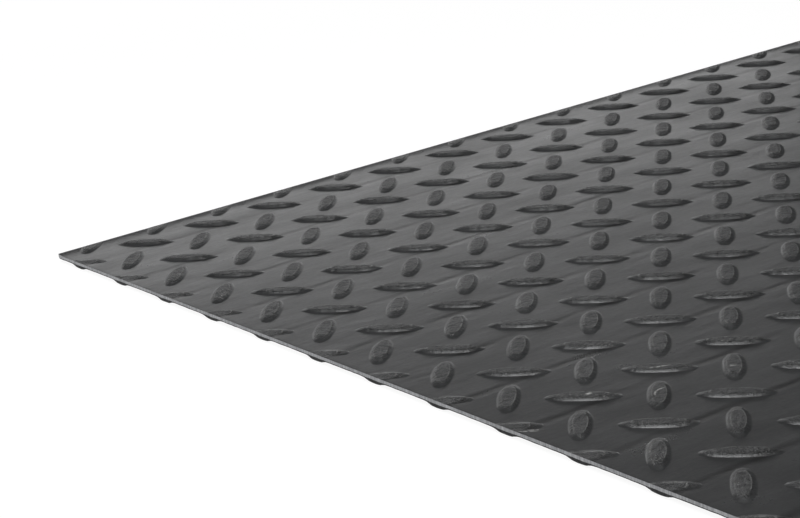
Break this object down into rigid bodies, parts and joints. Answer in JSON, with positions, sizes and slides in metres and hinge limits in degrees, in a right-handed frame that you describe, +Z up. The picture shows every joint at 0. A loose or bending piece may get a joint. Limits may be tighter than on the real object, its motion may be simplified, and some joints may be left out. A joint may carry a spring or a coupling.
{
  "type": "checker steel plate",
  "caption": "Flat square-cut steel floor plate with a raised tear pattern on its top face and a plain flat underside.",
  "frame": {"origin": "centre of the flat underside", "axes": "+Z up out of the patterned face, +X and +Y along the plate's two pairs of edges"},
  "size_m": [0.5, 0.5, 0.0032],
  "materials": {
    "hot_rolled_steel": "dark grey mill scale, semi-gloss"
  },
  "bodies": {
    "root": {"checker_plate": "hot_rolled_steel"}
  },
  "joints": []
}
